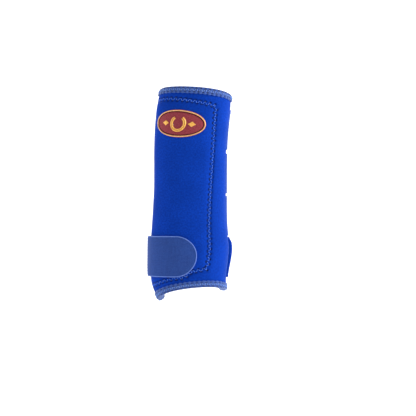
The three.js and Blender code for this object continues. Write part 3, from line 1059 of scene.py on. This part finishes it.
def border_cord(name, outline, face, join):
    """The overlocked rim along a strap's outline."""
    mm, z = rim_path(outline).T
    angle = angle_at(mm)
    piece = tube(name, [place(angle, z, face(angle, z))], 0.5, RIM_THREAD, sides=8, flat=0.7)
    join(piece)


def running_stitch(name, flat, face, join):
    """Separate stitches along a flat path."""
    even = resample(flat, STITCH_GRAIN)
    long, every = round(STITCH_LONG / STITCH_GRAIN), round((STITCH_LONG + STITCH_GAP) / STITCH_GRAIN)
    paths = []
    for k in range(0, len(even) - every, every):
        mm, z = even[k:k + long + 1:2].T
        arch = stitch_arch(np.linspace(0, 1, len(z)), 0.2, 0.2, power=0.5)
        angle = angle_at(mm)
        paths.append(place(angle, z, face(angle, z) + arch))
    piece = tube(name, paths, 0.3, TAPE_THREAD, sides=5)
    join(piece)


def strap_lift(angle, z):
    return mix(CLEAR, WEBBING_INNER, smooth(angle, STRAP_ROOT + 20, FLAP_EDGE - 14))


def strap_top(root_thickness, fullness):
    """The offset of a strap's outer face; fullness is how far the sewn end of the fetlock strap bulges."""
    def at(angle, z):
        thickness = mix(root_thickness, WEBBING, smooth(angle, STRAP_ROOT, FLAP_EDGE))
        bulge = fullness * smooth(z, -103, -68) * (1 - smooth(z, -62, -53)) * (1 - smooth(angle, 24, 66))
        return strap_lift(angle, z) + thickness + bulge
    return at


def root_blend(root, centre):
    """A way to join a piece that starts at a root: it bakes the piece's transform into its mesh."""
    start = place(root, centre, 0)[0] * MM

    def join(piece):
        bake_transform(piece)
    return join


def box_path(root, centre, half_height, near, far):
    """A stitched rectangle past a strap's root, as a flat path."""
    a, b = around_mm(root) + near, around_mm(root) + far
    low, high = centre - half_height, centre + half_height
    return np.array([(a, low), (b, low), (b, high), (a, high), (a, low)], float)


def closing_strap(name, centre):
    body = f"{name}_strap"
    outline = (STRAP_ROOT, STRAP_TIP, centre, STRAP_HEIGHT)
    top, cloth = strap_top(2.3, 0), (WEBBING_CLOTH, "webbing")
    if name == "fetlock":
        top, cloth = strap_top(3.2, 2.2), (NEOPRENE, "neoprene")
    join = root_blend(STRAP_ROOT, centre)
    strap = strap_piece(f"{name}_closing_strap", outline, strap_lift, top, *cloth)
    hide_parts(body)
    join(strap)
    border_cord(f"{name}_strap_rim", outline, top, join)
    box = box_path(STRAP_ROOT, centre, STRAP_HEIGHT / 2 - BOX_INSET, 2.0, 9.0)
    running_stitch(f"{name}_strap_stitch", box, top, join)
    under = (STRAP_HOOK_START, *outline[1:])
    hook_patch(f"{name}_hook_patch", under, body, f"{name}_strap_hook")


for strap_name, strap_centre in STRAP_CENTRES.items():
    closing_strap(strap_name, strap_centre)

SLING_OVERLAP = 170


def sling_band():
    """The stretchy band round the back of the fetlock; it thins where the tab is sewn over it."""
    def top(angle, z):
        thin = smooth(angle, SLING_OVERLAP - 6, SLING_OVERLAP)
        return mix(WEBBING_INNER + WEBBING - 0.3, WEBBING_INNER - 0.1, thin)

    angles = stops_in_degrees(
        (SLING_ROOT, 0.4), (SLING_ROOT + 2, 1.4), (SLING_BEND - 2, 0.4), (SLING_BEND, 1)
    )
    rise = crowded_ends(33)
    angle = np.repeat(angles[:, None], len(rise), axis=1)
    half_height = SLING_HEIGHT / 2
    z = np.broadcast_to(SLING_CENTRE + rise[None] * half_height, angle.shape)
    per_mm = degrees_per_mm(160, SLING_CENTRE)
    distance = np.minimum.reduce(
        [(angle - SLING_ROOT) / per_mm, (SLING_BEND - angle) / per_mm, half_height - np.abs(z - SLING_CENTRE)]
    )
    share = rounded(np.maximum(distance, 0), 1.2)
    piece = slab("sling_elastic", angle, z, CLEAR, top(angle, z), NEOPRENE, share=share)
    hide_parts("sling_band")
    join = root_blend(SLING_ROOT, SLING_CENTRE)
    join(piece)
    box = box_path(SLING_ROOT, SLING_CENTRE, half_height - BOX_INSET, 1.8, 7.5)
    running_stitch("sling_root_stitch", box, top, join)


sling_band()


def sling_tab():
    """The round-ended hook tab, sewn over the band's end and pressed on to the badge side."""
    def join(piece):
        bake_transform(piece)

    outline = (SLING_OVERLAP, SLING_TIP, SLING_CENTRE, SLING_HEIGHT)
    low, top = level(WEBBING_INNER), level(WEBBING_INNER + WEBBING)
    tab = strap_piece("hook_tab", outline, low, top, WEBBING_CLOTH, "webbing")
    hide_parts("sling_tab")
    join(tab)
    border_cord("hook_tab_rim", outline, top, join)
    box = box_path(SLING_OVERLAP, SLING_CENTRE, SLING_HEIGHT / 2 - BOX_INSET, 1.8, 6.5)
    running_stitch("hook_tab_stitch", box, top, rides("sling_band"))
    under = (SLING_HOOK_START, *outline[1:])
    hook_patch("hook_tab_patch", under, "sling_tab", "sling_tab_hook")


sling_tab()


# -------- badge

BADGE_ANGLE = 251.5
BADGE_Z = 87.6
BADGE_HALF = (33.4, 17)
BADGE_TILT = math.radians(-4)
BADGE_RIM = 2.2
BADGE_THICKNESS = 1.6
BADGE_RELIEF = 0.8
BADGE_FACE = CLEAR + BADGE_THICKNESS
BADGE_SUNK = 0.5
SECTION_POINTS = 9


def on_badge(x, y, offset):
    """A point on the badge, from its own level axes, in millimetres."""
    along = x * math.cos(BADGE_TILT) - y * math.sin(BADGE_TILT)
    up = x * math.sin(BADGE_TILT) + y * math.cos(BADGE_TILT)
    angle = BADGE_ANGLE + along * degrees_per_mm(BADGE_ANGLE, BADGE_Z)
    return place(angle, BADGE_Z + up, offset)


def oval_slab(name, insets, low, high, material, groove, disc=False):
    """A closed oval ring on the badge, or a disc, with points at each distance in from its outline."""
    turn = np.linspace(0, 2 * np.pi, 145)[:-1, None]
    px = (BADGE_HALF[0] - insets[None]) * np.cos(turn)
    py = (BADGE_HALF[1] - insets[None]) * np.sin(turn)
    n, layer = len(turn), px.size
    index = np.arange(layer).reshape(px.shape)
    ring = np.concatenate([index, index[:1]], axis=0)
    quads = [grid_quads(ring), grid_quads(ring + layer)]
    for edge in (ring[:, 0],) if disc else (ring[:, 0], ring[:, -1]):
        quads.append(np.stack([edge[:-1], edge[1:], edge[1:] + layer, edge[:-1] + layer], -1))
    faces = np.concatenate(quads).tolist()
    if disc:
        inner = ring[:, -1]
        half = np.arange(n // 2)
        strip = np.stack([inner[half], inner[half + 1], inner[n - half - 1], inner[n - half]], -1)
        faces += [list(dict.fromkeys(face)) for face in np.concatenate([strip, strip + layer]).tolist()]
    marks = {
        "cloth": np.stack([px, py, 0 * px], -1).reshape(-1, 3),
        "groove": np.broadcast_to(groove, px.shape).ravel(),
    }
    points = np.concatenate([on_badge(px, py, low), on_badge(px, py, high)]).reshape(-1, 3)
    piece = mesh_piece(name, points, faces, material, on_both_faces(marks))
    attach(piece, "sleeve")
    return piece


def badge():
    insets = runs((0, 0.08), (0.25, 0.25), (5.2, 1.0), (BADGE_HALF[1] - 0.05, 1))
    groove = np.exp(-(((insets - BADGE_RIM - 0.45) / 0.75) ** 2))
    top = CLEAR + BADGE_THICKNESS * rounded(insets, 0.8) - 0.45 * groove
    base = oval_slab("badge_patch", insets, CLEAR, top, BADGE_RUBBER, groove, disc=True)
    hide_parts("badge_base")

    across = crowded_ends(13)
    insets = 0.5 + (BADGE_RIM - 0.8) * (1 + across) / 2
    top = BADGE_FACE + 0.1 + BADGE_RELIEF * np.sqrt(np.maximum(1 - across**2, 0))
    rim = oval_slab("badge_border", insets, BADGE_FACE - BADGE_SUNK, top, RIM_GOLD, 0)
    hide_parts("badge_rim")


badge()


def swept_relief(path, widths, height, fuller=0.0):
    """A raised bar along a flat path on the badge, with a rounded top and a groove along it."""
    path = np.asarray(path, float)
    section = np.linspace(-1, 1, SECTION_POINTS)
    groove = fuller * np.exp(-((section / 0.22) ** 2))
    rise = np.sqrt(np.clip(1 - np.abs(section) ** 3, 0, 1)) * height - groove
    flat = path[:, None] + to_left(path)[:, None] * (section[:, None] * widths[:, None, None] / 2)
    x, y = flat[..., 0], flat[..., 1]
    bottom, top = on_badge(x, y, BADGE_FACE - BADGE_SUNK), on_badge(x, y, BADGE_FACE + 0.02 + rise)
    points, faces = closed_sheet(bottom, top)
    cloth = np.stack([x, y, 0 * x], -1).reshape(-1, 3)
    marks = {"cloth": cloth, "groove": np.tile(groove / max(fuller, 1e-6), len(path))}
    return points, faces[:, ::-1], on_both_faces(marks)


def motif():
    """A plain horseshoe between two diamond studs."""
    turn = np.radians(np.linspace(-235, 55, 60))
    shoe = np.stack([8.075 * np.cos(turn), 8.5 * np.sin(turn)], -1)
    widths = np.full(60, 3.6)
    widths[[0, -1]] = 3.0
    parts = [swept_relief(shoe, widths, BADGE_RELIEF, 0.35)]
    across = np.linspace(-1, 1, 21)
    for side in (-1, 1):
        diamond = np.stack([side * 16.5 + 4.6 * across, 0 * across], -1)
        parts.append(swept_relief(diamond, 0.2 + 6.4 * (1 - np.abs(across)), BADGE_RELIEF * 0.8))
    points, faces, marks = zip(*parts)
    starts = np.cumsum([0, *map(len, points)])
    faces = np.concatenate([part + start for part, start in zip(faces, starts)])
    marks = {mark: np.concatenate([part[mark] for part in marks]) for mark in ("cloth", "groove")}
    piece = mesh_piece("badge_motif", np.concatenate(points), faces, MOTIF_GOLD, marks)
    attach(piece, "sleeve")
    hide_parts("badge_horseshoe")


motif()


# -------- cloth facts

def declare_sheets():
    """Works out the flat widths that the cloth pieces were cut to, in metres; nothing further is done with
    them.
    """
    main_width = float(around_mm(FLAP_END) - around_mm(BACK_SEAM)) * MM
    rear_width = float(around_mm(BACK_SEAM) - around_mm(REAR_EDGE)) * MM


declare_sheets()


# -------- stage and light

FLOOR = -0.262
FLOOR_RADIUS = 4.0
SWEEP = 2.0
WALL_TOP = 6.0


def make_stage():
    """A pale floor that sweeps up all round into a pale wall."""
    bend = np.linspace(0.1, np.pi / 2, 10)
    flat = np.append(0.00001, np.linspace(0.5, FLOOR_RADIUS, 8))
    radii = np.concatenate([flat, FLOOR_RADIUS + SWEEP * np.sin(bend), [FLOOR_RADIUS + SWEEP]])
    heights = np.concatenate([0 * flat, SWEEP * (1 - np.cos(bend)), [WALL_TOP]])
    turn = np.linspace(0, 2 * np.pi, 97)[:, None]
    x, y = radii * np.cos(turn), radii * np.sin(turn)
    z = np.broadcast_to(FLOOR + heights, x.shape)
    index = np.arange(x.size).reshape(x.shape)
    m = Nodes("stage", 0.9)
    place_in_room = m.add("ShaderNodeTexCoord").outputs["Object"]
    grain = m.noise(place_in_room, 0.4)
    colour = m.blend(m.remap(grain, 0.3, 0.7), (0.60, 0.60, 0.61), (0.64, 0.64, 0.64))
    depth = m.add("ShaderNodeSeparateXYZ", Vector=place_in_room).outputs["Y"]
    glow = m.remap(depth, -3, -0.4, 0.42, 0.85)
    m.set(m.shader, Base_Color=colour, Emission_Strength=glow, Emission_Color=(1, 1, 1))
    points = np.stack([x, y, z], -1).reshape(-1, 3) / MM
    floor = mesh_piece("stage", points, grid_quads(index), m.material)


def add_light(name, position, size, power):
    """A round lamp that faces the boot."""
    data = bpy.data.lights.new(name, "AREA")
    data.shape = "DISK"
    data.size = size
    data.energy = power
    light = bpy.data.objects.new(name, data)
    light.location = position
    light.rotation_euler = (-Vector(position)).to_track_quat("-Z", "Y").to_euler()
    scene.collection.objects.link(light)


def make_lights():
    world = bpy.data.worlds.new("studio")
    world.use_nodes = True
    background = world.node_tree.nodes["Background"]
    background.inputs["Color"].default_value = (1, 1, 1, 1)
    background.inputs["Strength"].default_value = 0.3
    scene.world = world
    add_light("key", (2.2, -0.7, 0.8), 0.6, 92)
    add_light("fill", (-2.1, -0.1, 0.4), 0.8, 26)
    add_light("back", (-0.6, 1.9, 1.2), 1.2, 14)


make_stage()
make_lights()
scene.view_settings.view_transform = "Standard"
